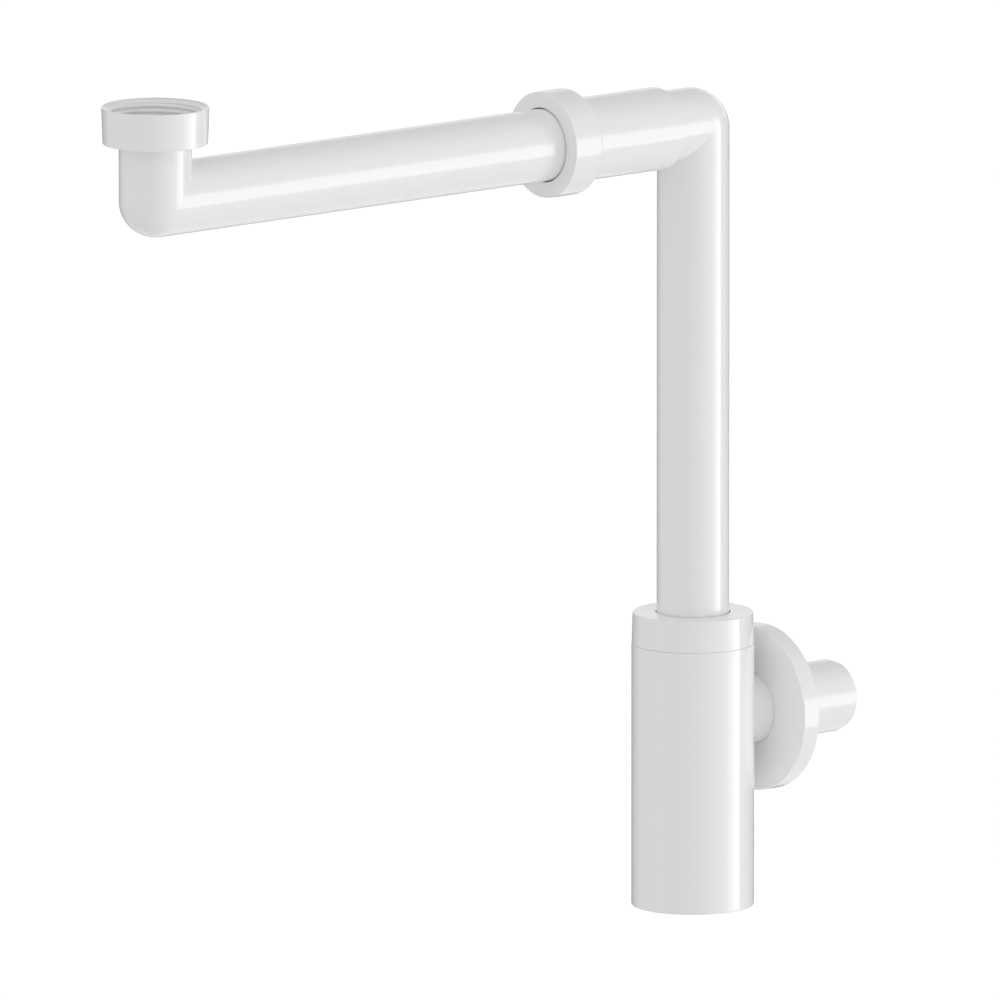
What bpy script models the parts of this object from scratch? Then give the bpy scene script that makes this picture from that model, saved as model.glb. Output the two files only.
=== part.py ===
"""Space saving sink trap: a slim bottle trap with a long reach arm, for a basin waste.

The origin is on the outlet's axis in the plane of the wall. +X is to the right of someone
who faces the wall, +Y runs into the wall and +Z is up. Sizes are in metres.
"""

import math

import bmesh
import bpy
from mathutils import Vector

MM = 0.001

# Pipes, which are all the same standard size
PIPE_OD = 32.0 * MM
PIPE_WALL = 1.8 * MM
PIPE_FROM_WALL = 42.0 * MM  # wall to the down pipe's axis
ARM_HEIGHT = 265.6 * MM  # outlet's axis up to the arm's axis
ARM_REACH = 308.4 * MM  # down pipe's axis to the inlet's axis
DIP_DEPTH = 71.0 * MM  # outlet's axis down to the down pipe's open end
INLET_BEND = 0.0 * MM  # centreline radius of the arm's elbow
UPPER_BEND = 2.0 * MM  # centreline radius of the down pipe's elbow
PIPE_END_ROUND = 0.6 * MM

# Socket of the down pipe, which the arm slides into
SOCKET_WALL = 1.9 * MM
SOCKET_FOOT = 20.4 * MM  # down pipe's axis to the socket's shoulder
SOCKET_FLOOR = 2.0 * MM  # that shoulder to the step in the bore
SHOULDER_ROUND = 0.3 * MM
ARM_END_ROOM = 4.0 * MM  # arm's end to that step
ARM_NUT_REACH = 87.35 * MM  # down pipe's axis to the arm nut's face

# Bottle
BOTTLE_OD = 54.2 * MM
BOTTLE_WALL = 2.2 * MM
BOTTLE_DEPTH = 84.3 * MM  # outlet's axis down to the underside
BOTTLE_FOOT_ROUND = 0.8 * MM
CAP_TOP = 47.15 * MM  # outlet's axis up to the cap nut's face
DECK_HEIGHT = 33.05 * MM  # outlet's axis up to the ledge under the cap nut
THROAT_LENGTH = 2.4 * MM
WEB_WALL = 2.4 * MM  # thickness of the funnel that holds the seal

# Outlet
OUTLET_LENGTH = 41.0 * MM  # wall to the end of the outlet
OUTLET_BORE = 26.4 * MM
OUTLET_LIP = 3.3 * MM  # length of the thinner end
OUTLET_LIP_ROUND = 0.5 * MM
OUTLET_LIP_DROP = 1.2 * MM  # thinner end below the pipe's surface

# Wall rosette
ROSETTE_OD = 73.6 * MM
ROSETTE_DEPTH = 8.5 * MM
ROSETTE_WALL = 2.0 * MM
ROSETTE_ROUND = 0.4 * MM
ROSETTE_COLLAR = 5.5 * MM

# Compression joints: what both have alike
NUT_WALL = 3.0 * MM
SLIP_RING = 1.5 * MM
SEAL_PROUD = 0.5 * MM  # seal above the mouth's rim
SEAL_RIM = 2.0 * MM  # straight part of the seat
SEAL_TIP = 0.9 * MM
THREAD_WALL = 1.9 * MM

# Arm joint
ARM_NUT_OD = 47.0 * MM
ARM_NUT_LENGTH = 15.9 * MM
ARM_NUT_FACE_ROUND = 0.5 * MM
ARM_NUT_BACK_ROUND = 1.8 * MM
ARM_NUT_PLAY = 0.55 * MM  # pipe to the nut's hole
ARM_SEAT_WIDTH = 2.9 * MM  # pipe's clearance hole to the mouth
ARM_SEAT_DEPTH = 5.0 * MM

# Cap joint
CAP_NUT_TOP_OD = 53.2 * MM
CAP_NUT_FOOT_OD = 54.0 * MM
CAP_NUT_ROUND = 0.4 * MM
CAP_NUT_PLAY = 0.5 * MM
CAP_SEAT_WIDTH = 5.7 * MM
CAP_SEAT_DEPTH = 4.6 * MM

# Inlet union
NUT_RISE = 25.4 * MM  # arm's axis up to the union nut's foot
NUT_HEIGHT = 16.3 * MM
NUT_TOP_OD = 47.2 * MM
NUT_FOOT_OD = 46.1 * MM
NUT_ROUND = 0.4 * MM
NUT_THREAD_BORE = 41.9 * MM  # across the roots of the one and a quarter inch thread
NUT_MOUTH = 45.2 * MM  # wide end of the lead-in
NUT_LEAD = 2.2 * MM
FLANGE_OD = 38.0 * MM
FLANGE_THICKNESS = 2.5 * MM
GASKET_THICKNESS = 2.5 * MM
GASKET_BORE = 29.0 * MM

# Clearances and facets
TOUCH = 0.3 * MM  # between faces that meet on the real thing
SLIDE = 0.35 * MM  # between the pipe and what slides on it
CUT_PAST = 5.0 * MM  # cutters run past the face they open
SEGMENTS = 40
BEND_STEPS = 8
ROUND_STEPS = 3
MERGE = 0.001 * MM

PIPE_R = PIPE_OD / 2
BORE_R = PIPE_R - PIPE_WALL
SLIDE_R = PIPE_R + SLIDE
SOCKET_R = SLIDE_R + SOCKET_WALL
SOCKET_STOP = SOCKET_FOOT + SOCKET_FLOOR

UP = (0.0, 0.0, 0.0)
TO_WALL = (-math.pi / 2, 0.0, 0.0)
TO_ROOM = (math.pi / 2, 0.0, 0.0)


class CompressionJoint:
    """The mouth, seal, slip ring and nut on a pipe. Heights are along the pipe from the rim."""

    def __init__(self, seat_width, seat_depth, play):
        self.mouth_r = SLIDE_R + seat_width
        self.thread_r = self.mouth_r + THREAD_WALL
        self.slope = seat_depth / seat_width
        self.seat_end = -SEAL_RIM - seat_depth
        self.nut_bore_r = self.thread_r + TOUCH
        self.nut_hole_r = PIPE_R + play
        self.ring_foot = SEAL_PROUD + TOUCH
        self.ring_top = self.ring_foot + SLIP_RING
        self.nut_ceiling = self.ring_top + TOUCH
        self.nut_face = self.nut_ceiling + NUT_WALL

    def seat_height(self, radius):
        """Height of the seat's cone at a radius."""
        return -SEAL_RIM - (self.mouth_r - radius) * self.slope

    def seal_corners(self):
        """A wedge that follows the seat, its gap measured square to the cone."""
        lift = TOUCH * math.hypot(1.0, self.slope)
        wide_r = self.mouth_r - TOUCH
        tip_r = SLIDE_R + SEAL_TIP
        return [
            (wide_r, SEAL_PROUD, 0.3 * MM),
            (wide_r, self.seat_height(wide_r) + lift),
            (tip_r, self.seat_height(tip_r) + lift),
            (SLIDE_R, self.seat_height(tip_r) + lift),
            (SLIDE_R, SEAL_PROUD),
        ]

    def ring_corners(self):
        return [
            (self.mouth_r, self.ring_top),
            (self.mouth_r, self.ring_foot),
            (SLIDE_R, self.ring_foot),
            (SLIDE_R, self.ring_top),
        ]

    def nut_corners(self, face_r, foot_r, length, face_round, foot_round):
        foot = self.nut_face - length
        return [
            (face_r, self.nut_face, face_round),
            (foot_r, foot, foot_round),
            (self.nut_bore_r, foot),
            (self.nut_bore_r, self.nut_ceiling),
            (self.nut_hole_r, self.nut_ceiling),
            (self.nut_hole_r, self.nut_face, 0.3 * MM),
        ]


ARM_JOINT = CompressionJoint(ARM_SEAT_WIDTH, ARM_SEAT_DEPTH, ARM_NUT_PLAY)
CAP_JOINT = CompressionJoint(CAP_SEAT_WIDTH, CAP_SEAT_DEPTH, CAP_NUT_PLAY)
ARM_RIM = ARM_NUT_REACH - ARM_JOINT.nut_face  # down pipe's axis to the socket's rim
CAP_RIM = CAP_TOP - CAP_JOINT.nut_face  # outlet's axis to the neck's rim


def clear_scene():
    for item in list(bpy.data.objects):
        bpy.data.objects.remove(item, do_unlink=True)


def new_collection(name):
    group = bpy.data.collections.new(name)
    bpy.context.scene.collection.children.link(group)
    return group


def plastic(name, colour, roughness):
    made = bpy.data.materials.new(name)
    made.use_nodes = True
    shader = made.node_tree.nodes["Principled BSDF"]
    shader.inputs["Base Color"].default_value = (*colour, 1.0)
    shader.inputs["Roughness"].default_value = roughness
    shader.inputs["Metallic"].default_value = 0.0
    made.diffuse_color = (*colour, 1.0)
    return made


def axis_marker(name, location):
    """An empty on a joint's axis, which carries the pieces of that axis."""
    marker = bpy.data.objects.new(name, None)
    marker.location = location
    PIECES.objects.link(marker)
    return marker


def rounded(corners, loop):
    """The corners (radius, height, optional rounding) with each rounding drawn as an arc."""
    points = []
    for index, corner in enumerate(corners):
        at = Vector(corner[:2])
        ends = not loop and index in (0, len(corners) - 1)
        if len(corner) < 3 or ends or corner[2] <= 0.0:
            points.append(at)
            continue
        back = (Vector(corners[index - 1][:2]) - at).normalized()
        on = (Vector(corners[(index + 1) % len(corners)][:2]) - at).normalized()
        half = back.angle(on) / 2
        middle = at + (back + on).normalized() * (corner[2] / math.sin(half))
        start = at + back * (corner[2] / math.tan(half)) - middle
        sweep = start.angle_signed(at + on * (corner[2] / math.tan(half)) - middle)
        for step in range(ROUND_STEPS + 1):
            turn = -sweep * step / ROUND_STEPS
            across = start.x * math.cos(turn) - start.y * math.sin(turn)
            along = start.x * math.sin(turn) + start.y * math.cos(turn)
            points.append(middle + Vector((across, along)))
    return points


def turned(name, corners, loop=True):
    """A lathe shape about the local Z axis. An open outline starts and ends on the axis."""
    points = rounded(corners, loop)
    edges = [(i, i + 1) for i in range(len(points) - 1)]
    if loop:
        edges.append((len(points) - 1, 0))
    mesh = bpy.data.meshes.new(name)
    mesh.from_pydata([(p.x, 0.0, p.y) for p in points], edges, [])
    piece = bpy.data.objects.new(name, mesh)
    lathe = piece.modifiers.new("lathe", "SCREW")
    lathe.axis = "Z"
    lathe.angle = math.tau
    lathe.steps = SEGMENTS
    lathe.render_steps = SEGMENTS
    lathe.use_merge_vertices = True
    lathe.merge_threshold = MERGE
    lathe.use_smooth_shade = True
    return piece


def leg_ring(along, across, distance, radius):
    """A ring of points round a straight leg. The first point is on the inside of the bend."""
    side = along.cross(across)
    ring = []
    for index in range(SEGMENTS):
        angle = math.tau * index / SEGMENTS
        ring.append(
            along * distance
            + across * (radius * math.cos(angle))
            + side * (radius * math.sin(angle))
        )
    return ring


def bend_rings(leg_a, leg_b, radius, bend):
    """Rings round a tight elbow: an arc outside, and a sharp mitre where the legs meet inside."""
    side = leg_a.cross(leg_b)
    centre = (leg_a + leg_b) * bend
    rings = []
    for step in range(BEND_STEPS + 1):
        turn = math.pi / 2 * step / BEND_STEPS
        outwards = -(leg_b * math.cos(turn) + leg_a * math.sin(turn))
        ring = []
        for index in range(SEGMENTS):
            angle = math.tau * index / SEGMENTS
            inwards = radius * math.cos(angle)
            across = side * (radius * math.sin(angle))
            if inwards < bend:
                ring.append(centre + outwards * (bend - inwards) + across)
            else:
                ring.append((leg_a + leg_b) * inwards + across)
        rings.append(ring)
    return rings


def bent_wall(leg_a, leg_b, stations_a, stations_b, radius, bend):
    """One wall of a bent pipe, from the end of leg A round the bend to the end of leg B."""
    side = leg_a.cross(leg_b)
    rings = [leg_ring(leg_a, leg_b, far, r) for far, r in stations_a]
    rings += bend_rings(leg_a, leg_b, radius, bend)
    for far, r in stations_b:
        ring = []
        for index in range(SEGMENTS):
            angle = math.tau * index / SEGMENTS
            across = leg_a * (r * math.cos(angle)) + side * (r * math.sin(angle))
            ring.append(leg_b * far + across)
        rings.append(ring)
    return rings


def lofted(name, rings, loop):
    """A skin over rings of points. A loop joins the last ring to the first, or both are capped."""
    mesh = bpy.data.meshes.new(name)
    skin = bmesh.new()
    rows = [[skin.verts.new(point) for point in ring] for ring in rings]
    pairs = list(zip(rows, rows[1:]))
    if loop:
        pairs.append((rows[-1], rows[0]))
    else:
        skin.faces.new(rows[0])
        skin.faces.new(rows[-1])
    for here, there in pairs:
        for index in range(SEGMENTS):
            after = (index + 1) % SEGMENTS
            skin.faces.new((here[index], here[after], there[after], there[index]))
    bmesh.ops.remove_doubles(skin, verts=skin.verts, dist=MERGE)
    bmesh.ops.recalc_face_normals(skin, faces=skin.faces)
    skin.to_mesh(mesh)
    skin.free()
    mesh.shade_smooth()
    mesh.set_sharp_from_angle(angle=math.radians(35))
    return bpy.data.objects.new(name, mesh)


def put(piece, carrier, turn, material, offset=(0.0, 0.0, 0.0)):
    """Places a finished piece on the empty that carries it."""
    PIECES.objects.link(piece)
    piece.parent = carrier
    piece.location = offset
    piece.rotation_euler = turn
    piece.data.materials.append(material)
    return piece


def shape_with(piece, tool, operation, carrier, turn, offset=(0.0, 0.0, 0.0)):
    """Joins a tool shape to a piece, or cuts it out, with the tool kept as a hidden guide."""
    TOOLS.objects.link(tool)
    tool.parent = carrier
    tool.location = offset
    tool.rotation_euler = turn
    tool.hide_render = True
    tool.display_type = "WIRE"
    change = piece.modifiers.new(tool.name, "BOOLEAN")
    change.operation = operation
    change.solver = "EXACT"
    change.object = tool


def make_bottle():
    """The bottle, its threaded neck with the seal's funnel, and the outlet, in one moulding."""
    body_r = BOTTLE_OD / 2
    inside_r = body_r - BOTTLE_WALL
    joint = CAP_JOINT
    seat_end = CAP_RIM + joint.seat_end
    throat_end = seat_end - THROAT_LENGTH
    neck_inside = joint.mouth_r
    web = WEB_WALL * math.hypot(1.0, joint.slope)
    bottle = turned(
        "bottle_body",
        [
            (0.0, CAP_RIM),
            (joint.thread_r, CAP_RIM, 0.6 * MM),
            (joint.thread_r, DECK_HEIGHT),
            (body_r, DECK_HEIGHT, 0.25 * MM),
            (body_r, -BOTTLE_DEPTH, BOTTLE_FOOT_ROUND),
            (0.0, -BOTTLE_DEPTH),
        ],
        loop=False,
    )
    put(bottle, PIPE_AXIS, UP, WHITE)

    outlet_start = -inside_r + 2 * BOTTLE_WALL
    outlet = turned(
        "outlet_form",
        [
            (0.0, OUTLET_LENGTH),
            (PIPE_R - OUTLET_LIP_DROP, OUTLET_LENGTH, OUTLET_LIP_ROUND),
            (PIPE_R - OUTLET_LIP_DROP, OUTLET_LENGTH - OUTLET_LIP),
            (PIPE_R, OUTLET_LENGTH - OUTLET_LIP, 0.3 * MM),
            (PIPE_R, outlet_start),
            (0.0, outlet_start),
        ],
        loop=False,
    )
    shape_with(bottle, outlet, "UNION", OUTLET_AXIS, TO_WALL)

    under_web = joint.seat_height(neck_inside) + CAP_RIM - web
    chamber = turned(
        "bottle_chamber",
        [
            (0.0, CAP_RIM + CUT_PAST),
            (joint.mouth_r, CAP_RIM + CUT_PAST),
            (joint.mouth_r, CAP_RIM - SEAL_RIM),
            (SLIDE_R, seat_end),
            (SLIDE_R, throat_end),
            (SLIDE_R + (throat_end - (seat_end - web)) / joint.slope, throat_end),
            (neck_inside, under_web),
            (neck_inside, DECK_HEIGHT - BOTTLE_WALL),
            (inside_r, DECK_HEIGHT - BOTTLE_WALL, 1.0 * MM),
            (inside_r, -BOTTLE_DEPTH + BOTTLE_WALL, 2.0 * MM),
            (0.0, -BOTTLE_DEPTH + BOTTLE_WALL),
        ],
        loop=False,
    )
    shape_with(bottle, chamber, "DIFFERENCE", PIPE_AXIS, UP)

    bore = turned(
        "outlet_bore",
        [
            (0.0, OUTLET_LENGTH + CUT_PAST),
            (OUTLET_BORE / 2, OUTLET_LENGTH + CUT_PAST),
            (OUTLET_BORE / 2, outlet_start - BOTTLE_WALL),
            (0.0, outlet_start - BOTTLE_WALL),
        ],
        loop=False,
    )
    shape_with(bottle, bore, "DIFFERENCE", OUTLET_AXIS, TO_WALL)


def make_cap():
    """The cap nut on the bottle's neck, with the slip ring and the seal it presses down."""
    joint = CAP_JOINT
    rim = (0.0, 0.0, CAP_RIM)
    length = CAP_TOP - DECK_HEIGHT - TOUCH
    nut = joint.nut_corners(
        CAP_NUT_TOP_OD / 2, CAP_NUT_FOOT_OD / 2, length, CAP_NUT_ROUND, CAP_NUT_ROUND / 2
    )
    put(turned("cap_nut", nut), PIPE_AXIS, UP, WHITE, rim)
    put(turned("cap_slip_ring", joint.ring_corners()), PIPE_AXIS, UP, NATURAL, rim)
    put(turned("cap_seal", joint.seal_corners()), PIPE_AXIS, UP, RUBBER, rim)


def make_down_pipe():
    """The dip tube, the down pipe, its elbow and the arm's socket, in one moulding."""
    down, to_room = Vector((0, 0, -1)), Vector((0, -1, 0))
    joint = ARM_JOINT
    pipe_length = ARM_HEIGHT + DIP_DEPTH
    inside_socket = SOCKET_STOP + 2 * PIPE_WALL
    outer = bent_wall(
        down,
        to_room,
        [(pipe_length, PIPE_R - PIPE_END_ROUND), (pipe_length - PIPE_END_ROUND, PIPE_R)],
        [(inside_socket, PIPE_R)],
        PIPE_R,
        UPPER_BEND,
    )
    pipe = lofted("down_pipe", outer, loop=False)
    put(pipe, ELBOW_AXIS, UP, WHITE)

    collar_foot = ARM_NUT_REACH - ARM_NUT_LENGTH + SLIDE
    socket = turned(
        "socket_form",
        [
            (0.0, ARM_RIM),
            (joint.thread_r, ARM_RIM, 0.6 * MM),
            (joint.thread_r, collar_foot),
            (SOCKET_R, collar_foot - (joint.thread_r - SOCKET_R) / 2),
            (SOCKET_R, SOCKET_FOOT, SHOULDER_ROUND),
            (0.0, SOCKET_FOOT),
        ],
        loop=False,
    )
    shape_with(pipe, socket, "UNION", ELBOW_AXIS, TO_ROOM)

    seat_end = ARM_RIM + joint.seat_end
    bore = bent_wall(
        down,
        to_room,
        [(pipe_length + CUT_PAST, BORE_R)],
        [
            (SOCKET_STOP, BORE_R),
            (SOCKET_STOP, SLIDE_R),
            (seat_end, SLIDE_R),
            (ARM_RIM - SEAL_RIM, joint.mouth_r),
            (ARM_RIM + CUT_PAST, joint.mouth_r),
        ],
        BORE_R,
        UPPER_BEND,
    )
    shape_with(pipe, lofted("down_pipe_bore", bore, loop=False), "DIFFERENCE", ELBOW_AXIS, UP)


def make_arm_joint():
    """The nut, slip ring and seal that hold the arm in its socket."""
    joint = ARM_JOINT
    rim = (0.0, -ARM_RIM, 0.0)
    radius = ARM_NUT_OD / 2
    nut = joint.nut_corners(
        radius, radius, ARM_NUT_LENGTH, ARM_NUT_FACE_ROUND, ARM_NUT_BACK_ROUND
    )
    put(turned("arm_nut", nut), ELBOW_AXIS, TO_ROOM, WHITE, rim)
    put(turned("arm_slip_ring", joint.ring_corners()), ELBOW_AXIS, TO_ROOM, NATURAL, rim)
    put(turned("arm_seal", joint.seal_corners()), ELBOW_AXIS, TO_ROOM, RUBBER, rim)


def make_arm():
    """The flanged stub, the elbow and the long arm, in one moulding."""
    up, to_wall = Vector((0, 0, 1)), Vector((0, 1, 0))
    flange_foot = NUT_RISE + NUT_WALL + TOUCH
    flange_top = flange_foot + FLANGE_THICKNESS
    flange_r = FLANGE_OD / 2
    arm_length = ARM_REACH - SOCKET_STOP - ARM_END_ROOM
    flange = [
        (flange_top, flange_r - 0.4 * MM),
        (flange_top - 0.4 * MM, flange_r),
        (flange_foot, flange_r),
        (flange_foot, PIPE_R),
    ]
    spigot = [(arm_length - PIPE_END_ROUND, PIPE_R), (arm_length, PIPE_R - PIPE_END_ROUND)]
    outer = bent_wall(up, to_wall, flange, spigot, PIPE_R, INLET_BEND)
    bore = bent_wall(
        up, to_wall, [(flange_top, BORE_R)], [(arm_length, BORE_R)], BORE_R, INLET_BEND
    )
    put(lofted("inlet_arm", outer + bore[::-1], loop=True), INLET_AXIS, UP, WHITE)

    gasket_foot = flange_top + TOUCH
    gasket_top = gasket_foot + GASKET_THICKNESS
    gasket = turned(
        "inlet_gasket",
        [
            (flange_r, gasket_top),
            (flange_r, gasket_foot),
            (GASKET_BORE / 2, gasket_foot),
            (GASKET_BORE / 2, gasket_top),
        ],
    )
    put(gasket, INLET_AXIS, UP, RUBBER)


def make_union_nut():
    """The union nut, which hangs on the stub's flange and turns on it."""
    top = NUT_RISE + NUT_HEIGHT
    nut = turned(
        "inlet_nut",
        [
            (NUT_TOP_OD / 2, top, NUT_ROUND),
            (NUT_FOOT_OD / 2, NUT_RISE, NUT_ROUND),
            (SLIDE_R, NUT_RISE),
            (SLIDE_R, NUT_RISE + NUT_WALL),
            (NUT_THREAD_BORE / 2, NUT_RISE + NUT_WALL),
            (NUT_THREAD_BORE / 2, top - NUT_LEAD),
            (NUT_MOUTH / 2, top),
        ],
    )
    put(nut, INLET_AXIS, UP, WHITE)


def make_rosette():
    """The wall rosette: a shallow cup with a collar that grips the outlet."""
    radius = ROSETTE_OD / 2
    rosette = turned(
        "wall_rosette",
        [
            (radius, 0.0),
            (radius, -ROSETTE_DEPTH, ROSETTE_ROUND),
            (SLIDE_R, -ROSETTE_DEPTH, 0.3 * MM),
            (SLIDE_R, -ROSETTE_DEPTH + ROSETTE_COLLAR),
            (SLIDE_R + ROSETTE_WALL, -ROSETTE_DEPTH + ROSETTE_COLLAR),
            (SLIDE_R + ROSETTE_WALL, -ROSETTE_DEPTH + ROSETTE_WALL),
            (radius - ROSETTE_WALL, -ROSETTE_DEPTH + ROSETTE_WALL, 0.5 * MM),
            (radius - ROSETTE_WALL, 0.0),
        ],
    )
    put(rosette, OUTLET_AXIS, TO_WALL, WHITE)


clear_scene()
PIECES = new_collection("space_saving_sink_trap")
TOOLS = new_collection("tools")

WHITE = plastic("white_plastic", (0.86, 0.86, 0.86), 0.22)
NATURAL = plastic("slip_ring_plastic", (0.78, 0.79, 0.77), 0.45)
RUBBER = plastic("seal_rubber", (0.05, 0.05, 0.055), 0.6)

OUTLET_AXIS = axis_marker("outlet_axis", (0.0, 0.0, 0.0))
PIPE_AXIS = axis_marker("pipe_axis", (0.0, -PIPE_FROM_WALL, 0.0))
ELBOW_AXIS = axis_marker("elbow_axis", (0.0, -PIPE_FROM_WALL, ARM_HEIGHT))
INLET_AXIS = axis_marker("inlet_axis", (0.0, -PIPE_FROM_WALL - ARM_REACH, ARM_HEIGHT))

make_bottle()
make_cap()
make_down_pipe()
make_arm_joint()
make_arm()
make_union_nut()
make_rosette()
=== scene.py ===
"""The looks of a space saving sink trap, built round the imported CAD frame.

Every piece is drawn as rows of rings. One Geometry Nodes tree joins the rows into a skin, round a
straight axis or round a tight elbow, and cuts the screw threads as it goes. Sizes are in metres.
"""

import math

import bmesh
import bpy
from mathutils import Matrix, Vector


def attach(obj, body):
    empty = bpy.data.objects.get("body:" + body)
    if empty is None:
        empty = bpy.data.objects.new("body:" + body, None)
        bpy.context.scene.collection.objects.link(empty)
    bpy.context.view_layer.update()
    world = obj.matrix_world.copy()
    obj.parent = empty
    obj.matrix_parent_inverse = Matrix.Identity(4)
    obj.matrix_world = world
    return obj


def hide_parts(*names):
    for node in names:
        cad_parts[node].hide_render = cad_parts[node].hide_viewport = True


MM = 0.001

# Sizes that the source has too
PIPE_R = 16.0 * MM
BORE_R = 14.2 * MM
PIPE_FROM_WALL = 42.0 * MM
ARM_HEIGHT = 265.6 * MM
ARM_REACH = 308.4 * MM
DIP_DEPTH = 71.0 * MM
UPPER_BEND = 2.0 * MM
PIPE_END_ROUND = 0.6 * MM
SOCKET_WALL = 1.9 * MM
SOCKET_FOOT = 20.4 * MM
SOCKET_STOP = 22.4 * MM
ARM_END_ROOM = 4.0 * MM
ARM_NUT_REACH = 87.35 * MM
BOTTLE_R = 27.1 * MM
BOTTLE_WALL = 2.2 * MM
BOTTLE_DEPTH = 84.3 * MM
CAP_TOP = 47.15 * MM
DECK_HEIGHT = 33.05 * MM
THROAT_LENGTH = 2.4 * MM
WEB_WALL = 2.4 * MM
OUTLET_LENGTH = 41.0 * MM
OUTLET_BORE_R = 13.2 * MM
OUTLET_LIP = 3.3 * MM
OUTLET_LIP_R = 14.8 * MM
ROSETTE_R = 36.8 * MM
ROSETTE_DEPTH = 8.5 * MM
ROSETTE_WALL = 2.0 * MM
ROSETTE_COLLAR = 5.5 * MM
NUT_WALL = 3.0 * MM
SLIP_RING = 1.5 * MM
SEAL_PROUD = 0.5 * MM
SEAL_RIM = 2.0 * MM
SEAL_TIP = 0.9 * MM
THREAD_WALL = 1.9 * MM
ARM_NUT_R = 23.5 * MM
ARM_NUT_LENGTH = 15.9 * MM
CAP_NUT_TOP_R = 26.6 * MM
CAP_NUT_FOOT_R = 27.0 * MM
NUT_RISE = 25.4 * MM
NUT_HEIGHT = 16.3 * MM
UNION_TOP_R = 23.6 * MM
UNION_FOOT_R = 23.05 * MM
UNION_THREAD_R = 20.95 * MM
FLANGE_R = 19.0 * MM
FLANGE_THICKNESS = 2.5 * MM
GASKET_THICKNESS = 2.5 * MM
GASKET_BORE_R = 14.5 * MM
TOUCH = 0.3 * MM
SLIDE = 0.35 * MM
SLIDE_R = PIPE_R + SLIDE

# Threads, which only the looks have
JOINT_PITCH = 3.0 * MM
JOINT_DEPTH = 1.0 * MM
UNION_PITCH = 2.309 * MM
UNION_DEPTH = 0.8 * MM
FLANKS = (0.1, 0.9)  # a flank climbs between these shares of the way from root to crest
TURN_ROWS = 14  # rows of rings to one turn of a thread

# Outer threads: plain neck under them, chamfer at the rim, and where they fade out
NECK_RELIEF = 0.9 * MM
RIM_CHAMFER = 0.9 * MM
RIM_GAP = 0.01 * MM
RIM_FADE = 0.3 * MM
FOOT_FADE = 1.2 * MM

# Inner threads: plain bore above them, and a wider hole at the foot
NUT_RELIEF = 1.6 * MM
NUT_LEAD = 0.1 * MM

# The union nut's mouth: a plain wall, then a cone down to the thread's crests
UNION_MOUTH_R = 22.7 * MM
UNION_MOUTH_WALL = 1.2 * MM
UNION_CONE = 0.9 * MM
UNION_SHOULDER = 1.2 * MM
UNION_RELIEF = 1.2 * MM

# Roundings of edges
CRISP = 0.15 * MM
FINE = 0.2 * MM
SMALL = 0.3 * MM
MEDIUM = 0.4 * MM
SOFT = 0.5 * MM
BROAD = 0.8 * MM
RING_ROUND = 0.25 * MM
ARM_NUT_FOOT_ROUND = 1.8 * MM
UNION_TOP_ROUND = 0.35 * MM
UNION_MOUTH_ROUND = 0.1 * MM
BOTTLE_FLOOR_ROUND = 2.0 * MM
BOTTLE_DECK_ROUND = 1.0 * MM

# Other details
SEAM = 0.08 * MM  # faces that meet are drawn this close
DIP_PART = 5.0 * MM  # the rows of the dip tube's end start this far up its bore
PIPE_PART = 30.0 * MM  # and go on outside to this far under the elbow
OUTLET_CHAMFER = 0.3 * MM
TOOL_OVER = 0.7 * MM  # the outlet's bore is cut to this far past its end

# How finely the rings are drawn
SEGMENTS = 144
BEND_STEPS = 20
ARC_STEP = math.radians(13)
HOLD = 0.06 * MM  # rows this close to a rounding keep the flat beside it flat
SHARP = math.radians(32)
MERGE = 0.0005 * MM
BEND_EDGE = 0.001 * MM  # a point is inside a bend from this far past its centre

DOWN = Vector((0, 0, -1))
UP = Vector((0, 0, 1))
TO_ROOM = Vector((0, -1, 0))
TO_WALL = Vector((0, 1, 0))
OUTLET_AXIS = Vector((0, 0, 0))
PIPE_AXIS = Vector((0, -PIPE_FROM_WALL, 0))
ELBOW = Vector((0, -PIPE_FROM_WALL, ARM_HEIGHT))
INLET_AXIS = Vector((0, -PIPE_FROM_WALL - ARM_REACH, ARM_HEIGHT))


class Term:
    """A socket of a node tree as a term of an expression: 1 - mask adds Math nodes."""

    def __init__(self, tree, socket=None):
        self.tree = tree
        self.socket = socket

    def add(self, kind, settings=None, sockets=None, output=0):
        """Adds a node of any type: its settings first, then the values or links of its sockets."""
        node = self.tree.nodes.new(kind)
        for name, value in (settings or {}).items():
            setattr(node, name, value)
        for name, value in (sockets or {}).items():
            if isinstance(value, Term):
                self.tree.links.new(value.socket, node.inputs[name])
            else:
                node.inputs[name].default_value = value
        return Term(self.tree, node.outputs[output])

    def feed(self, node, name):
        """Links the term to a named input of a node."""
        self.tree.links.new(self.socket, node.inputs[name])

    def maths(self, operation, *others):
        sockets = {0: self}
        for index, other in enumerate(others):
            sockets[index + 1] = other
        return self.add("ShaderNodeMath", {"operation": operation}, sockets)

    def __add__(self, other):
        return self.maths("ADD", other)

    def __sub__(self, other):
        return self.maths("SUBTRACT", other)

    def __rsub__(self, other):
        return (self * -1.0) + other

    def __mul__(self, other):
        return self.maths("MULTIPLY", other)

    def __truediv__(self, other):
        return self.maths("DIVIDE", other)

    def along(self, vector):
        """The share of a direction that points along a fixed one."""
        return self.add(
            "ShaderNodeVectorMath", {"operation": "DOT_PRODUCT"}, {0: self, 1: vector}, "Value"
        )

    def step(self, start, end):
        """A soft step from 0 at start to 1 at end."""
        return self.add(
            "ShaderNodeMapRange",
            {"interpolation_type": "SMOOTHSTEP"},
            {"Value": self, "From Min": start, "From Max": end},
        )

    def window(self, edges):
        """1 between the inner two of four angles in degrees, soft out to the outer two."""
        angles = [math.radians(edge) for edge in edges]
        return self.step(*angles[:2]) - self.step(*angles[2:])


# The tree that turns rows into pieces

ROW_VALUES = ("leg", "far", "wide", "turn", "pipe", "thread", "least", "most")


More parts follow.
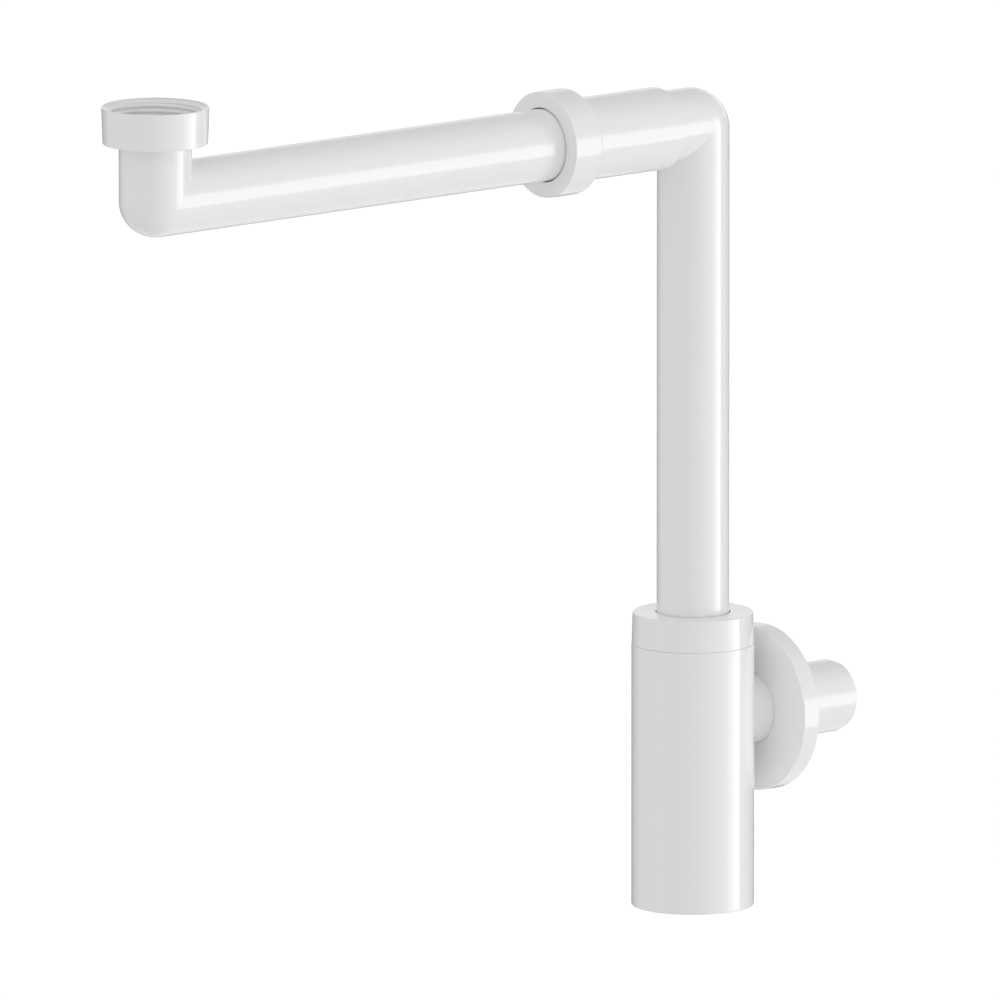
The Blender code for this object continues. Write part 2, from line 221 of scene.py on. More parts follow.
def row(far, wide, leg=0, turn=0.0, pipe=0.0, thread=0.0, least=0.0, most=1.0):
    """One ring. Leg 0 runs along A, 1 is the elbow and 2 runs along B, with far as its distance."""
    return (leg, far, wide, turn, pipe, thread, least, most)


def make_ring_tree():
    """Rings on rows: the skin through them, mitred inside an elbow and threaded where asked."""
    tree = bpy.data.node_groups.new("rings on rows", "GeometryNodeTree")
    inputs = (
        ("Rows", "Geometry"),
        ("Segments", "Int"),
        ("Start", "Vector"),
        ("Leg A", "Vector"),
        ("Leg B", "Vector"),
        ("Bend", "Float"),
        ("Pitch", "Float"),
        ("Thread Depth", "Float"),
        ("Finish", "Material"),
    )
    for name, kind in inputs:
        tree.interface.new_socket(name, in_out="INPUT", socket_type="NodeSocket" + kind)
    tree.interface.new_socket("Piece", in_out="OUTPUT", socket_type="NodeSocketGeometry")
    given = tree.nodes.new("NodeGroupInput")

    def value(name):
        return Term(tree, given.outputs[name])

    # A grid with one line of points for each row, and the first point of a ring twice
    rows = value("Rows")
    segments = value("Segments")
    ring = segments + 1.0
    count = rows.add("GeometryNodeAttributeDomainSize", {"component": "MESH"}, {"Geometry": rows})
    skin = rows.add("GeometryNodeMeshGrid", {}, {"Vertices X": count, "Vertices Y": ring}, "Mesh")
    index = rows.add("GeometryNodeInputIndex")
    place = ((index + 0.5) / ring).maths("FLOOR")
    phi = (index - place * ring) / segments * math.tau

    def at_row(name):
        read = rows.add("GeometryNodeInputNamedAttribute", {"data_type": "FLOAT"}, {"Name": name})
        return rows.add(
            "GeometryNodeSampleIndex",
            {"data_type": "FLOAT", "domain": "POINT"},
            {"Geometry": rows, "Value": read, "Index": place},
        )

    leg, far, wide, turn, pipe, thread, least, most = [at_row(name) for name in ROW_VALUES]
    on_a = leg.maths("LESS_THAN", 0.5)
    on_b = leg.maths("GREATER_THAN", 1.5)
    on_bend = 1.0 - on_a - on_b
    cosine = phi.maths("COSINE")
    sine = phi.maths("SINE")
    bend = value("Bend")

    # Inside the bend the legs meet at a mitre, halfway between their directions
    mitre = pipe * cosine
    inner = mitre.maths("GREATER_THAN", bend + BEND_EDGE)

    # A ridge with sloping flanks winds to the right about the leg's own direction
    winding = far / value("Pitch") + phi / math.tau * (on_b * 2.0 - 1.0)
    ramp = 1.0 - ((winding - winding.maths("FLOOR")) * 2.0 - 1.0).maths("ABSOLUTE")
    threaded = wide + ramp.step(*FLANKS) * value("Thread Depth") * thread
    radius = threaded.maths("MAXIMUM", least).maths("MINIMUM", most)

    # Outside the bend the rings turn about a point that lies Bend away from both axes
    reach = bend - mitre
    arc_a = bend - turn.maths("SINE") * reach
    arc_b = bend - turn.maths("COSINE") * reach
    bend_a = inner * mitre + (1.0 - inner) * arc_a
    bend_b = inner * mitre + (1.0 - inner) * arc_b
    straight = far + inner * (mitre + HOLD - far).maths("MAXIMUM", 0.0)

    along_a = on_a * straight + on_bend * bend_a + on_b * (radius * cosine)
    along_b = on_a * (radius * cosine) + on_bend * bend_b + on_b * straight
    along_side = (on_bend * pipe + (1.0 - on_bend) * radius) * sine

    def vector(operation, first, second, socket=1):
        return rows.add("ShaderNodeVectorMath", {"operation": operation}, {0: first, socket: second})

    leg_a = value("Leg A")
    leg_b = value("Leg B")
    side = vector("CROSS_PRODUCT", leg_a, leg_b)
    point = value("Start")
    for direction, share in ((leg_a, along_a), (leg_b, along_b), (side, along_side)):
        point = vector("ADD", point, vector("SCALE", direction, share, "Scale"))

    shaped = rows.add("GeometryNodeSetPosition", {}, {"Geometry": skin, "Position": point})
    merged = rows.add("GeometryNodeMergeByDistance", {}, {"Geometry": shaped, "Distance": MERGE})
    real = rows.add("GeometryNodeRealizeInstances", {}, {"Geometry": merged})
    finished = rows.add(
        "GeometryNodeSetMaterial", {}, {"Geometry": real, "Material": value("Finish")}
    )
    finished.feed(tree.nodes.new("NodeGroupOutput"), "Piece")
    return tree


def plain_mesh(piece):
    """The piece with its modifiers applied, as a plain object of the same name."""
    graph = bpy.context.evaluated_depsgraph_get()
    mesh = bpy.data.meshes.new_from_object(piece.evaluated_get(graph))
    if mesh.materials[0] is None:
        mesh.materials.pop(index=0)
    name = piece.name
    bpy.data.objects.remove(piece, do_unlink=True)
    mesh.name = name
    made = bpy.data.objects.new(name, mesh)
    bpy.context.scene.collection.objects.link(made)
    return made


def face_outwards(piece):
    """Merges what meets, drops faces without area and points the rest outwards."""
    skin = bmesh.new()
    skin.from_mesh(piece.data)
    bmesh.ops.remove_doubles(skin, verts=skin.verts, dist=MERGE)
    bmesh.ops.dissolve_degenerate(skin, edges=skin.edges, dist=MERGE / 2)
    bmesh.ops.recalc_face_normals(skin, faces=skin.faces)
    skin.to_mesh(piece.data)
    skin.free()
    piece.data.shade_smooth()
    piece.data.set_sharp_from_angle(angle=SHARP)


def skinned(name, rows, finish, **sizes):
    """One piece from its rows. The sizes are inputs of the tree, by name."""
    mesh = bpy.data.meshes.new(name)
    mesh.from_pydata([(0.0, 0.0, 0.0)] * len(rows), [], [])
    for index, title in enumerate(ROW_VALUES):
        store = mesh.attributes.new(title, "FLOAT", "POINT")
        store.data.foreach_set("value", [float(values[index]) for values in rows])
    piece = bpy.data.objects.new(name, mesh)
    bpy.context.scene.collection.objects.link(piece)
    maker = piece.modifiers.new("rings", "NODES")
    maker.node_group = RING_TREE
    wanted = {
        "Segments": SEGMENTS,
        "Start": OUTLET_AXIS,
        "Leg A": UP,
        "Leg B": TO_ROOM,
        "Bend": 0.0,
        "Pitch": JOINT_PITCH,
        "Thread Depth": JOINT_DEPTH,
        "Finish": finish,
    }
    for title, size in sizes.items():
        wanted[title.replace("_", " ").title()] = size
    for item in RING_TREE.interface.items_tree:
        if item.in_out == "INPUT" and item.name in wanted:
            maker[item.identifier] = wanted[item.name]
    piece = plain_mesh(piece)
    face_outwards(piece)
    return piece


# Rows

def rounded(corners, loop=True):
    """Corners (radius, height, optional rounding) as points, with arcs and rows that hold them."""
    points = []
    for index, corner in enumerate(corners):
        at = Vector(corner[:2])
        if len(corner) < 3 or (not loop and index in (0, len(corners) - 1)):
            points.append(at)
            continue
        back = Vector(corners[index - 1][:2]) - at
        on = Vector(corners[(index + 1) % len(corners)][:2]) - at
        half = back.angle(on) / 2
        run = corner[2] / math.tan(half)
        room = run + 3 * HOLD
        back_to = at + back.normalized() * run
        on_to = at + on.normalized() * run
        inwards = (back.normalized() + on.normalized()).normalized()
        middle = at + inwards * (corner[2] / math.sin(half))
        start = back_to - middle
        end = on_to - middle
        sweep = start.angle(end)
        steps = max(3, math.ceil(sweep / ARC_STEP))
        if back.length > room:
            points.append(back_to + back.normalized() * HOLD)
        for step in range(steps + 1):
            share = step / steps
            spoke = start * math.sin((1 - share) * sweep) + end * math.sin(share * sweep)
            points.append(middle + spoke / math.sin(sweep))
        if on.length > room:
            points.append(on_to + on.normalized() * HOLD)
    if loop:
        points.append(points[0])
    return points


def outline_rows(points, **extra):
    """Rows through points (radius, height)."""
    return [row(point.y, point.x, **extra) for point in points]


def bend_rows(radius, back=False):
    """Rows round the elbow, from leg A to leg B or back."""
    turns = [math.pi / 2 * step / BEND_STEPS for step in range(BEND_STEPS + 1)]
    if back:
        turns.reverse()
    return [row(0.0, radius, leg=1, turn=turn, pipe=radius) for turn in turns]


def thread_rows(start, end, root, pitch, least=None, most=None, fade=None, **extra):
    """Rows of a thread from start to end. Least and most give the bounds of its radius by place."""
    steps = max(2, round(abs(end - start) / pitch * TURN_ROWS))
    made = []
    for step in range(steps + 1):
        far = start + (end - start) * step / steps
        limits = {}
        if least:
            limits["least"] = least(far)
        if most:
            limits["most"] = most(far)
        depth = 1.0
        if fade:
            depth = min(1.0, abs(far - start) / fade[0], abs(far - end) / fade[1])
        made.append(row(far, root, thread=depth, **limits, **extra))
    return made


class CompressionJoint:
    """The mouth, seal, slip ring and nut on a pipe. The rim is its distance from the axis' start."""

    def __init__(self, seat_width, seat_depth, play, face):
        self.mouth_r = SLIDE_R + seat_width
        self.thread_r = self.mouth_r + THREAD_WALL
        self.root_r = self.thread_r - JOINT_DEPTH
        self.slope = seat_depth / seat_width
        self.nut_hole_r = PIPE_R + play
        self.ring_foot = SEAL_PROUD + TOUCH
        self.ring_top = self.ring_foot + SLIP_RING
        self.nut_ceiling = self.ring_top + TOUCH
        self.nut_face = self.nut_ceiling + NUT_WALL
        self.rim = face - self.nut_face
        self.seat_end = self.rim - SEAL_RIM - seat_depth

    def seat_height(self, radius):
        return self.rim - SEAL_RIM - (self.mouth_r - radius) * self.slope

    def seal_outline(self):
        lift = TOUCH * math.hypot(1.0, self.slope)
        wide_r = self.mouth_r - TOUCH
        tip_r = SLIDE_R + SEAL_TIP
        return [
            (wide_r, self.rim + SEAL_PROUD, SOFT),
            (wide_r, self.seat_height(wide_r) + lift, SMALL),
            (tip_r, self.seat_height(tip_r) + lift, SMALL),
            (SLIDE_R, self.seat_height(tip_r) + lift, FINE),
            (SLIDE_R, self.rim + SEAL_PROUD, SMALL),
        ]

    def ring_outline(self):
        top = self.rim + self.ring_top
        foot = self.rim + self.ring_foot
        return [
            (self.mouth_r, top, RING_ROUND),
            (self.mouth_r, foot, RING_ROUND),
            (SLIDE_R, foot, FINE),
            (SLIDE_R, top, FINE),
        ]

    def crest_limit(self, far):
        """The widest that the thread round the mouth may be, with a chamfer at the rim."""
        return self.thread_r - max(0.0, far - self.rim + RIM_CHAMFER)

    def nut_rows(self, face_r, foot_r, length, face_round, foot_round):
        """The nut's outside as an outline, and its thread inside with a lead-in at the foot."""
        face = self.rim + self.nut_face
        foot = face - length
        ceiling = self.rim + self.nut_ceiling
        thread_top = ceiling - NUT_RELIEF
        crest = self.root_r + TOUCH
        bore = self.thread_r + TOUCH
        outside = rounded(
            [
                (bore + NUT_LEAD, foot),
                (foot_r, foot, foot_round),
                (face_r, face, face_round),
                (self.nut_hole_r, face, CRISP),
                (self.nut_hole_r, ceiling, FINE),
                (bore, ceiling, SMALL),
                (bore, thread_top),
            ],
            loop=False,
        )
        inside = thread_rows(
            thread_top,
            foot,
            crest,
            JOINT_PITCH,
            least=lambda far: max(bore + NUT_LEAD - (far - foot), bore - (thread_top - far)),
        )
        return outline_rows(outside) + inside


ARM_JOINT = CompressionJoint(
    seat_width=2.9 * MM, seat_depth=5.0 * MM, play=0.55 * MM, face=ARM_NUT_REACH
)
CAP_JOINT = CompressionJoint(
    seat_width=5.7 * MM, seat_depth=4.6 * MM, play=0.5 * MM, face=CAP_TOP
)


# Finishes

def new_finish(name):
    """A material with only its shader, and a term that further nodes start from."""
    made = bpy.data.materials.new(name)
    made.use_nodes = True
    tree = made.node_tree
    shader = tree.nodes["Principled BSDF"]
    return made, shader, Term(tree)


def noise(maker, place, scale, detail, roughness=0.5):
    return maker.add(
        "ShaderNodeTexNoise",
        {},
        {"Vector": place, "Scale": scale, "Detail": detail, "Roughness": roughness},
        "Fac",
    )


def tinted(maker, share, dark, light):
    """A colour between two, by a share."""
    return maker.add(
        "ShaderNodeMix",
        {"data_type": "RGBA"},
        {"Factor": share, 6: (*dark, 1.0), 7: (*light, 1.0)},
        2,
    )


def bumped(maker, height, strength, distance):
    """The normal over a relief of this height."""
    return maker.add(
        "ShaderNodeBump", {}, {"Height": height, "Strength": strength, "Distance": distance}
    )


def moulded_plastic(name, dark, light, gloss, matt, ior):
    """Injection moulded plastic: slow drifts of tone and gloss, and a fine skin ripple."""
    made, shader, maker = new_finish(name)
    place = maker.add("ShaderNodeTexCoord", {}, {}, "Object")
    drift = noise(maker, place, scale=22.0, detail=2.0)
    flow = noise(maker, place, scale=90.0, detail=3.0)
    skin = noise(maker, place, scale=950.0, detail=2.0)
    haze = noise(maker, place, scale=420.0, detail=4.0, roughness=0.65)
    tinted(maker, drift * 0.65 + flow * 0.35, dark, light).feed(shader, "Base Color")
    rough = (haze * 0.5 + flow * 0.5) * (matt - gloss) + gloss
    rough.feed(shader, "Roughness")
    relief = skin * 0.35 + flow * 0.65
    bumped(maker, relief, strength=0.12, distance=0.02 * MM).feed(shader, "Normal")
    shader.inputs["IOR"].default_value = ior
    return made


def moulded_rubber(name, dark, light):
    """Black rubber: a satin face with a fine grain and a grey bloom in patches."""
    made, shader, maker = new_finish(name)
    place = maker.add("ShaderNodeTexCoord", {}, {}, "Object")
    grain = noise(maker, place, scale=1600.0, detail=3.0)
    patches = noise(maker, place, scale=160.0, detail=4.0, roughness=0.6)
    bloom = patches.step(0.45, 0.75)
    tinted(maker, bloom * 0.8, dark, light).feed(shader, "Base Color")
    rough = bloom * 0.18 + grain * 0.12 + 0.42
    rough.feed(shader, "Roughness")
    bumped(maker, grain, strength=0.4, distance=0.04 * MM).feed(shader, "Normal")
    return made


# Pieces

def make_bottle():
    """Bottle, threaded neck with the seal's funnel, and outlet, in one moulding."""
    joint = CAP_JOINT
    inside_r = BOTTLE_R - BOTTLE_WALL
    floor = -BOTTLE_DEPTH + BOTTLE_WALL
    ceiling = DECK_HEIGHT - BOTTLE_WALL
    web = WEB_WALL * math.hypot(1.0, joint.slope)
    throat_end = joint.seat_end - THROAT_LENGTH
    under_web = joint.seat_height(joint.mouth_r) - web
    under_throat = SLIDE_R + (throat_end - (joint.seat_end - web)) / joint.slope
    neck_foot = DECK_HEIGHT + NECK_RELIEF
    neck = thread_rows(
        joint.rim - RIM_GAP,
        neck_foot,
        joint.root_r,
        JOINT_PITCH,
        most=joint.crest_limit,
        fade=(RIM_FADE, FOOT_FADE),
    )
    outside = rounded(
        [
            (joint.root_r, neck_foot),
            (joint.root_r, DECK_HEIGHT, SMALL),
            (BOTTLE_R, DECK_HEIGHT, CRISP),
            (BOTTLE_R, -BOTTLE_DEPTH, BROAD),
            (0.0, -BOTTLE_DEPTH),
        ],
        loop=False,
    )
    inside = rounded(
        [
            (0.0, floor),
            (inside_r, floor, BOTTLE_FLOOR_ROUND),
            (inside_r, ceiling, BOTTLE_DECK_ROUND),
            (joint.mouth_r, ceiling, SMALL),
            (joint.mouth_r, under_web, SOFT),
            (under_throat, throat_end, FINE),
            (SLIDE_R, throat_end, FINE),
            (SLIDE_R, joint.seat_end, SMALL),
            (joint.mouth_r, joint.rim - SEAL_RIM, SOFT),
            (joint.mouth_r, joint.rim, SMALL),
            (joint.root_r, joint.rim),
        ],
        loop=False,
    )
    rows = neck + outline_rows(outside) + outline_rows(inside)
    bottle = skinned("trap_bottle", rows + rows[:1], WHITE, start=PIPE_AXIS)
    return with_outlet(bottle, -inside_r + 2 * BOTTLE_WALL)


def with_outlet(bottle, foot):
    """The bottle with its outlet joined on from the foot outwards, and bored into the bottle."""
    lip_foot = OUTLET_LENGTH - OUTLET_LIP
    pipe = rounded(
        [
            (0.0, foot),
            (PIPE_R, foot),
            (PIPE_R, lip_foot, SMALL),
            (OUTLET_LIP_R, lip_foot, MEDIUM),
            (OUTLET_LIP_R, OUTLET_LENGTH, SOFT),
            (0.0, OUTLET_LENGTH),
        ],
        loop=False,
    )
    hole = rounded(
        [
            (0.0, foot - BOTTLE_WALL),
            (OUTLET_BORE_R, foot - BOTTLE_WALL),
            (OUTLET_BORE_R, OUTLET_LENGTH - OUTLET_CHAMFER),
            (OUTLET_BORE_R + OUTLET_CHAMFER + TOOL_OVER, OUTLET_LENGTH + TOOL_OVER),
            (0.0, OUTLET_LENGTH + TOOL_OVER),
        ],
        loop=False,
    )
    place = {"start": OUTLET_AXIS, "leg_a": TO_WALL, "leg_b": UP}
    outlet = skinned("outlet_form", outline_rows(pipe), WHITE, **place)
    bore = skinned("outlet_bore", outline_rows(hole), WHITE, **place)
    for tool, operation in ((outlet, "UNION"), (bore, "DIFFERENCE")):
        change = bottle.modifiers.new(tool.name, "BOOLEAN")
        change.operation = operation
        change.solver = "EXACT"
        change.object = tool
    bottle = plain_mesh(bottle)
    for tool in (outlet, bore):
        bpy.data.objects.remove(tool, do_unlink=True)
    face_outwards(bottle)
    return bottle


def make_riser():
    """Dip tube, down pipe, elbow and the arm's socket with its threaded collar, in one moulding."""
    joint = ARM_JOINT
    length = ARM_HEIGHT + DIP_DEPTH
    socket_r = SLIDE_R + SOCKET_WALL
    collar_foot = ARM_NUT_REACH - ARM_NUT_LENGTH + SLIDE
    collar_slope = collar_foot - (joint.thread_r - socket_r) / 2
    dip_end = rounded(
        [
            (BORE_R, length - DIP_PART),
            (BORE_R, length, MEDIUM),
            (PIPE_R, length, PIPE_END_ROUND),
            (PIPE_R, PIPE_PART),
        ],
        loop=False,
    )
    socket = rounded(
        [
            (PIPE_R, UPPER_BEND + 2 * HOLD),
            (PIPE_R, SOCKET_FOOT, SMALL),
            (socket_r, SOCKET_FOOT, SMALL),
            (socket_r, collar_slope, FINE),
            (joint.root_r, collar_foot),
        ],
        loop=False,
    )
    mouth = rounded(
        [
            (joint.root_r, joint.rim),
            (joint.mouth_r, joint.rim, FINE),
            (joint.mouth_r, joint.rim - SEAL_RIM, SOFT),
            (SLIDE_R, joint.seat_end, SOFT),
            (SLIDE_R, SOCKET_STOP, SMALL),
            (BORE_R, SOCKET_STOP, FINE),
            (BORE_R, UPPER_BEND + 2 * HOLD),
        ],
        loop=False,
    )
    rows = outline_rows(dip_end, pipe=PIPE_R)
    rows.append(row(UPPER_BEND + HOLD, PIPE_R, pipe=PIPE_R))
    rows += bend_rows(PIPE_R)
    rows.append(row(UPPER_BEND + HOLD, PIPE_R, leg=2, pipe=PIPE_R))
    rows += outline_rows(socket, leg=2, pipe=PIPE_R)
    rows += thread_rows(
        collar_foot,
        joint.rim - RIM_GAP,
        joint.root_r,
        JOINT_PITCH,
        most=joint.crest_limit,
        fade=(FOOT_FADE, RIM_FADE),
        leg=2,
        pipe=PIPE_R,
    )
    rows += outline_rows(mouth, leg=2, pipe=BORE_R)
    rows += bend_rows(BORE_R, back=True)
    rows.append(row(UPPER_BEND + HOLD, BORE_R, pipe=BORE_R))
    rows.append(row(length - DIP_PART, BORE_R, pipe=BORE_R))
    place = {"start": ELBOW, "leg_a": DOWN, "leg_b": TO_ROOM}
    return skinned("riser_pipe", rows, WHITE, bend=UPPER_BEND, **place)


def make_arm():
    """Flanged stub, elbow and long arm, in one moulding."""
    foot = NUT_RISE + NUT_WALL + TOUCH
    top = foot + FLANGE_THICKNESS
    length = ARM_REACH - SOCKET_STOP - ARM_END_ROOM
    stub = rounded(
        [
            (BORE_R, HOLD),
            (BORE_R, top, SMALL),
            (FLANGE_R, top, MEDIUM),
            (FLANGE_R, foot, FINE),
            (PIPE_R, foot, MEDIUM),
            (PIPE_R, HOLD),
        ],
        loop=False,
    )
    end = rounded(
        [
            (PIPE_R, HOLD),
            (PIPE_R, length, PIPE_END_ROUND),
            (BORE_R, length, MEDIUM),
            (BORE_R, HOLD),
        ],
        loop=False,
    )
    rows = bend_rows(BORE_R)[:1]
    rows += outline_rows(stub[:1], pipe=BORE_R)
    rows += outline_rows(stub[1:], pipe=PIPE_R)
    rows += bend_rows(PIPE_R)
    rows += outline_rows(end[:-1], leg=2, pipe=PIPE_R)
    rows += outline_rows(end[-1:], leg=2, pipe=BORE_R)
    rows += bend_rows(BORE_R, back=True)
    return skinned("reach_arm", rows, WHITE, start=INLET_AXIS, leg_a=UP, leg_b=TO_WALL)


def make_union_nut():
    """The union nut: a plain ring outside, and a pipe thread inside under a wide mouth."""
    top = NUT_RISE + NUT_HEIGHT
    floor = NUT_RISE + NUT_WALL
    thread_foot = floor + UNION_RELIEF
    crest = UNION_THREAD_R - UNION_DEPTH
    cone_top = top - UNION_MOUTH_WALL
    slope = (UNION_MOUTH_R - crest) / UNION_CONE
    thread_top = cone_top - UNION_SHOULDER / slope
    outside = rounded(
        [
            (UNION_THREAD_R, thread_foot),
            (UNION_THREAD_R, floor, SMALL),
            (SLIDE_R, floor, FINE),
            (SLIDE_R, NUT_RISE, FINE),
            (UNION_FOOT_R, NUT_RISE, MEDIUM),
            (UNION_TOP_R, top, UNION_TOP_ROUND),
            (UNION_MOUTH_R, top, UNION_MOUTH_ROUND),
            (UNION_MOUTH_R, cone_top, BROAD),
            (UNION_MOUTH_R - UNION_SHOULDER, thread_top),
        ],
        loop=False,
    )
    inside = thread_rows(
        thread_top,
        thread_foot,
        crest,
        UNION_PITCH,
        least=lambda far: max(
            UNION_MOUTH_R - (cone_top - far) * slope, UNION_THREAD_R - (far - thread_foot)
        ),
    )
    rows = outline_rows(outside) + inside
    thread = {"pitch": UNION_PITCH, "thread_depth": UNION_DEPTH}
    return skinned("union_ring_nut", rows, WHITE, start=INLET_AXIS, **thread)


def make_wall_cover():
    """The rosette: a shallow cup with a collar that grips the outlet."""
    face = -ROSETTE_DEPTH
    hole_r = PIPE_R + SEAM
    collar_r = SLIDE_R + ROSETTE_WALL
    hollow_r = ROSETTE_R - ROSETTE_WALL
    outline = [
        (ROSETTE_R, 0.0, CRISP),
        (ROSETTE_R, face, MEDIUM),
        (hole_r, face, CRISP),
        (hole_r, face + ROSETTE_COLLAR, FINE),
        (collar_r, face + ROSETTE_COLLAR, FINE),
        (collar_r, face + ROSETTE_WALL, SOFT),
        (hollow_r, face + ROSETTE_WALL, BROAD),
        (hollow_r, 0.0, CRISP),
    ]
    rows = outline_rows(rounded(outline))
    return skinned("wall_cover", rows, WHITE, leg_a=TO_WALL, leg_b=UP)


def make_washer():
    """The flat ring on the stub's flange."""
    foot = NUT_RISE + NUT_WALL + TOUCH + FLANGE_THICKNESS + TOUCH
    top = foot + GASKET_THICKNESS
    outline = [
        (FLANGE_R, top, SMALL),
        (FLANGE_R, foot, SMALL),
        (GASKET_BORE_R, foot, SMALL),
        (GASKET_BORE_R, top, SMALL),
    ]
    return skinned("union_washer", outline_rows(rounded(outline)), NATURAL, start=INLET_AXIS)


def add(piece, node, body):
    """The piece stands for a CAD node and moves with its body."""
    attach(piece, body)
    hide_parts(node)


def add_joint_pieces(joint, prefix, place, ring_body, seal_body):
    """The slip ring and the seal of one compression joint."""
    rows = outline_rows(rounded(joint.ring_outline()))
    ring = skinned(prefix + "_slip_washer", rows, NATURAL, **place)
    rows = outline_rows(rounded(joint.seal_outline()))
    seal = skinned(prefix + "_wedge_seal", rows, RUBBER, **place)
    add(ring, prefix + "_slip_ring", ring_body)
    add(seal, prefix + "_seal", seal_body)


def make_nuts():
    """The nut, slip ring and seal of both compression joints."""
    place = {"start": PIPE_AXIS}
    length = CAP_TOP - DECK_HEIGHT - SEAM
    cap = CAP_JOINT.nut_rows(CAP_NUT_TOP_R, CAP_NUT_FOOT_R, length, MEDIUM, CRISP)
    add(skinned("cap_ring_nut", cap, WHITE, **place), "cap_nut", "cap")
    add_joint_pieces(CAP_JOINT, "cap", place, "cap_ring", "cap_packing")
    place = {"start": ELBOW, "leg_a": TO_ROOM, "leg_b": DOWN}
    arm = ARM_JOINT.nut_rows(ARM_NUT_R, ARM_NUT_R, ARM_NUT_LENGTH, SOFT, ARM_NUT_FOOT_ROUND)
    add(skinned("arm_ring_nut", arm, WHITE, **place), "arm_nut", "arm_collar")
    add_joint_pieces(ARM_JOINT, "arm", place, "arm_ring", "arm_packing")


# Studio

# The photograph is a parallel view, turned 50 degrees and raised 10. The long lens that stands in
# for it is turned and raised a quarter of a degree off that, which places all parts best.
CAMERA_TURN = math.radians(49.743)
CAMERA_RISE = math.radians(10.238)
HALF_VIEW = math.radians(0.62)
AIM = Vector((-0.0324667, -0.1259847, 0.1022990))
CAMERA_FAR = 20.3442

# The room is evenly lit, with panels that add light or take it away. Each panel has its turns, its
# heights and what it adds. Turns and heights are in degrees, with soft edges. Turns start at the
# camera's side and go round to its right, or to both sides alike.
EVEN_LIGHT = 0.625
FLOOR_LIGHT = 0.09
LEAST_LIGHT = 0.05
BACKDROP = 1.05  # what the camera sees behind everything
SIDE = (100, 110, 130, 145)
BACK = (130, 145, 180, 190)
PANELS = (
    ("right", (55, 97, 97, 100), (-21, -18, 8, 12), 4.3),
    ("right", (-60, -40, 40, 60), (15, 25, 60, 70), 0.33),
    ("right", (-60, -40, 40, 60), (-25, -15, 15, 25), -0.09),
    ("right", (-140, -120, -60, -40), (-25, -15, 15, 25), 0.13),
    ("right", (-140, -120, -60, -40), (-65, -55, -25, -15), -0.13),
    ("right", SIDE, (-25, -15, 5, 15), -0.42),
    ("right", SIDE, (5, 15, 60, 70), -0.34),
    ("both", BACK, (-65, -55, -35, -25), 0.27),
    ("both", (114, 140, 180, 190), (-32, -21, -6, 2), -0.48),
    ("both", BACK, (-4, 4, 15, 25), 0.40),
    ("both", BACK, (32, 44, 70, 80), -0.30),
)

FLOOR_HALF = 30.0
FLOOR_GAP = 0.2 * MM
FLOOR_GREY = (0.5, 0.5, 0.5, 1.0)
FLOOR_GLOW = 0.72
FULL_WHITE = (1.0, 1.0, 1.0, 1.0)


def make_camera():
    """A very long lens, because the photograph is a parallel view."""
    lens = bpy.data.cameras.new("camera")
    lens.sensor_width = 36.0
    lens.lens = lens.sensor_width / 2 / math.tan(HALF_VIEW)
    lens.clip_start = 0.1
    lens.clip_end = 60.0
    camera = bpy.data.objects.new("camera", lens)
    towards = Vector(
        (
            math.sin(CAMERA_TURN) * math.cos(CAMERA_RISE),
            -math.cos(CAMERA_TURN) * math.cos(CAMERA_RISE),
            math.sin(CAMERA_RISE),
        )
    )
    camera.location = AIM + towards * CAMERA_FAR
    camera.rotation_mode = "QUATERNION"
    camera.rotation_quaternion = (-towards).to_track_quat("-Z", "Y")
    bpy.context.scene.collection.objects.link(camera)
    bpy.context.scene.camera = camera


def make_room_light():
    """A studio all round: even soft light with brighter and darker panels hung in it."""
    world = bpy.data.worlds.new("studio")
    bpy.context.scene.world = world
    world.use_nodes = True
    tree = world.node_tree
    tree.nodes.clear()
    maker = Term(tree)
    looked = maker.add("ShaderNodeTexCoord", {}, {}, "Generated")
    right = looked.along((math.cos(CAMERA_TURN), math.sin(CAMERA_TURN), 0.0))
    near = looked.along((math.sin(CAMERA_TURN), -math.cos(CAMERA_TURN), 0.0))
    rise = looked.along((0.0, 0.0, 1.0))
    turn = right.maths("ARCTAN2", near)
    lift = rise.maths("ARCSINE")
    turned = {"right": turn, "both": turn.maths("ABSOLUTE")}
    strength = (rise * -1.0).maths("MAXIMUM", 0.0) * FLOOR_LIGHT + EVEN_LIGHT
    for side, turns, heights, gain in PANELS:
        strength = strength + turned[side].window(turns) * lift.window(heights) * gain
    strength = strength.maths("MAXIMUM", LEAST_LIGHT)
    light = maker.add("ShaderNodeBackground", {}, {"Strength": strength, "Color": FULL_WHITE})
    white = maker.add("ShaderNodeBackground", {}, {"Strength": BACKDROP, "Color": FULL_WHITE})
    seen = maker.add("ShaderNodeLightPath", {}, {}, "Is Camera Ray")
    both = maker.add("ShaderNodeMixShader", {}, {0: seen, 1: light, 2: white})
    both.feed(tree.nodes.new("ShaderNodeOutputWorld"), "Surface")


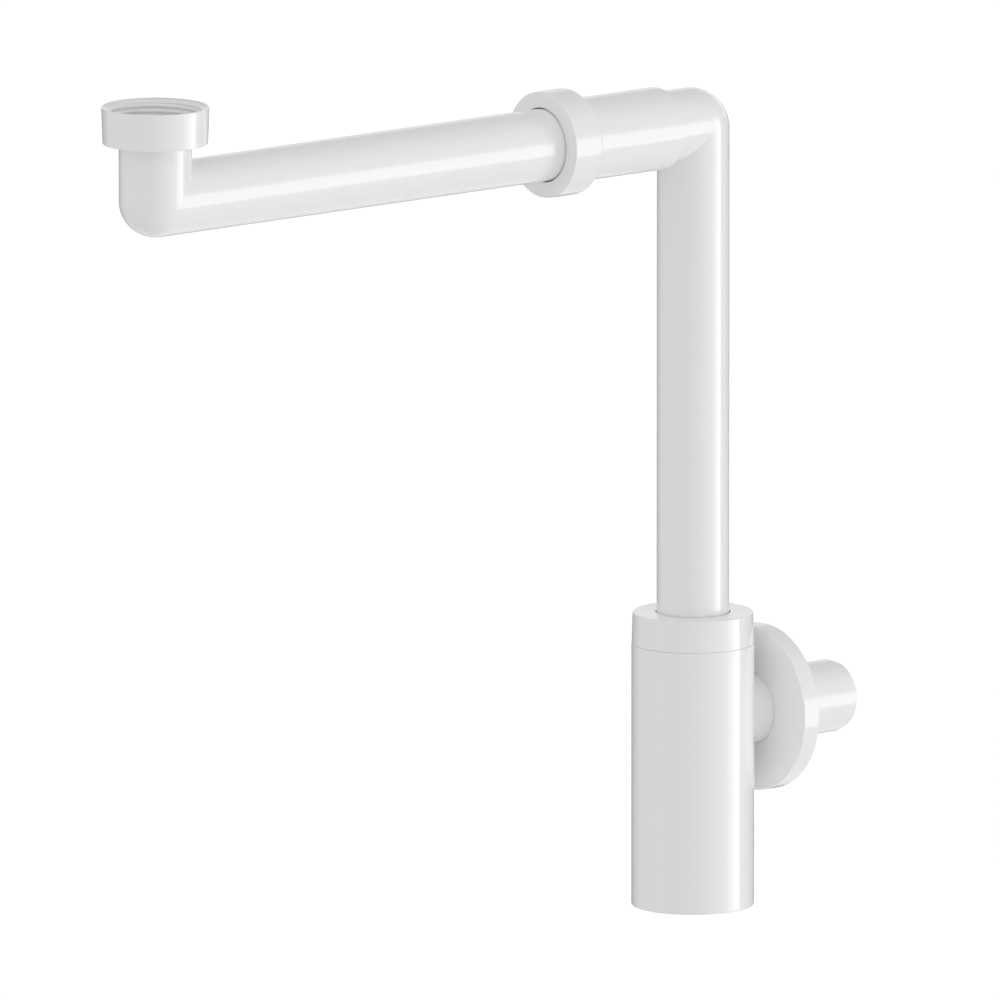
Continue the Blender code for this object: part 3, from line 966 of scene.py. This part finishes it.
def make_floor():
    """A pale floor that takes a faint shadow. Only the camera sees it, so it lights nothing."""
    height = -BOTTLE_DEPTH - FLOOR_GAP
    sides = ((-1, -1), (1, -1), (1, 1), (-1, 1))
    corners = [(x * FLOOR_HALF, y * FLOOR_HALF, height) for x, y in sides]
    mesh = bpy.data.meshes.new("floor")
    mesh.from_pydata(corners, [], [(0, 1, 2, 3)])
    floor = bpy.data.objects.new("floor", mesh)
    bpy.context.scene.collection.objects.link(floor)
    made, shader, _ = new_finish("pale_floor")
    shader.inputs["Base Color"].default_value = FLOOR_GREY
    shader.inputs["Roughness"].default_value = 1.0
    shader.inputs["Specular IOR Level"].default_value = 0.0
    shader.inputs["Emission Color"].default_value = FULL_WHITE
    shader.inputs["Emission Strength"].default_value = FLOOR_GLOW
    mesh.materials.append(made)
    floor.visible_diffuse = False
    floor.visible_glossy = False
    floor.visible_shadow = False
    floor.visible_transmission = False


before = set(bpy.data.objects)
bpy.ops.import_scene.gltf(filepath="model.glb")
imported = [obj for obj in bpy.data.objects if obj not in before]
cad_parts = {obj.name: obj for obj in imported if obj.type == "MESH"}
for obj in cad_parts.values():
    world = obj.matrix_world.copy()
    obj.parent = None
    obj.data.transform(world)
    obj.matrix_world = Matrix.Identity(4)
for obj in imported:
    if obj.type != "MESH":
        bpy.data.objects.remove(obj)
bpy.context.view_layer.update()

WHITE = moulded_plastic(
    "glossy_white_plastic",
    dark=(0.96, 0.96, 0.96),
    light=(0.975, 0.975, 0.975),
    gloss=0.08,
    matt=0.13,
    ior=1.49,
)
NATURAL = moulded_plastic(
    "waxy_natural_plastic",
    dark=(0.74, 0.75, 0.73),
    light=(0.82, 0.83, 0.81),
    gloss=0.34,
    matt=0.5,
    ior=1.51,
)
RUBBER = moulded_rubber(
    "satin_black_rubber", dark=(0.022, 0.022, 0.024), light=(0.075, 0.075, 0.078)
)
RING_TREE = make_ring_tree()

add(make_bottle(), "bottle_body", "bottle")
add(make_wall_cover(), "wall_rosette", "rosette")
add(make_riser(), "down_pipe", "riser")
add(make_arm(), "inlet_arm", "arm")
add(make_washer(), "inlet_gasket", "arm")
add(make_union_nut(), "inlet_nut", "union")
make_nuts()

make_floor()
make_room_light()
make_camera()
bpy.context.scene.view_settings.view_transform = "Standard"
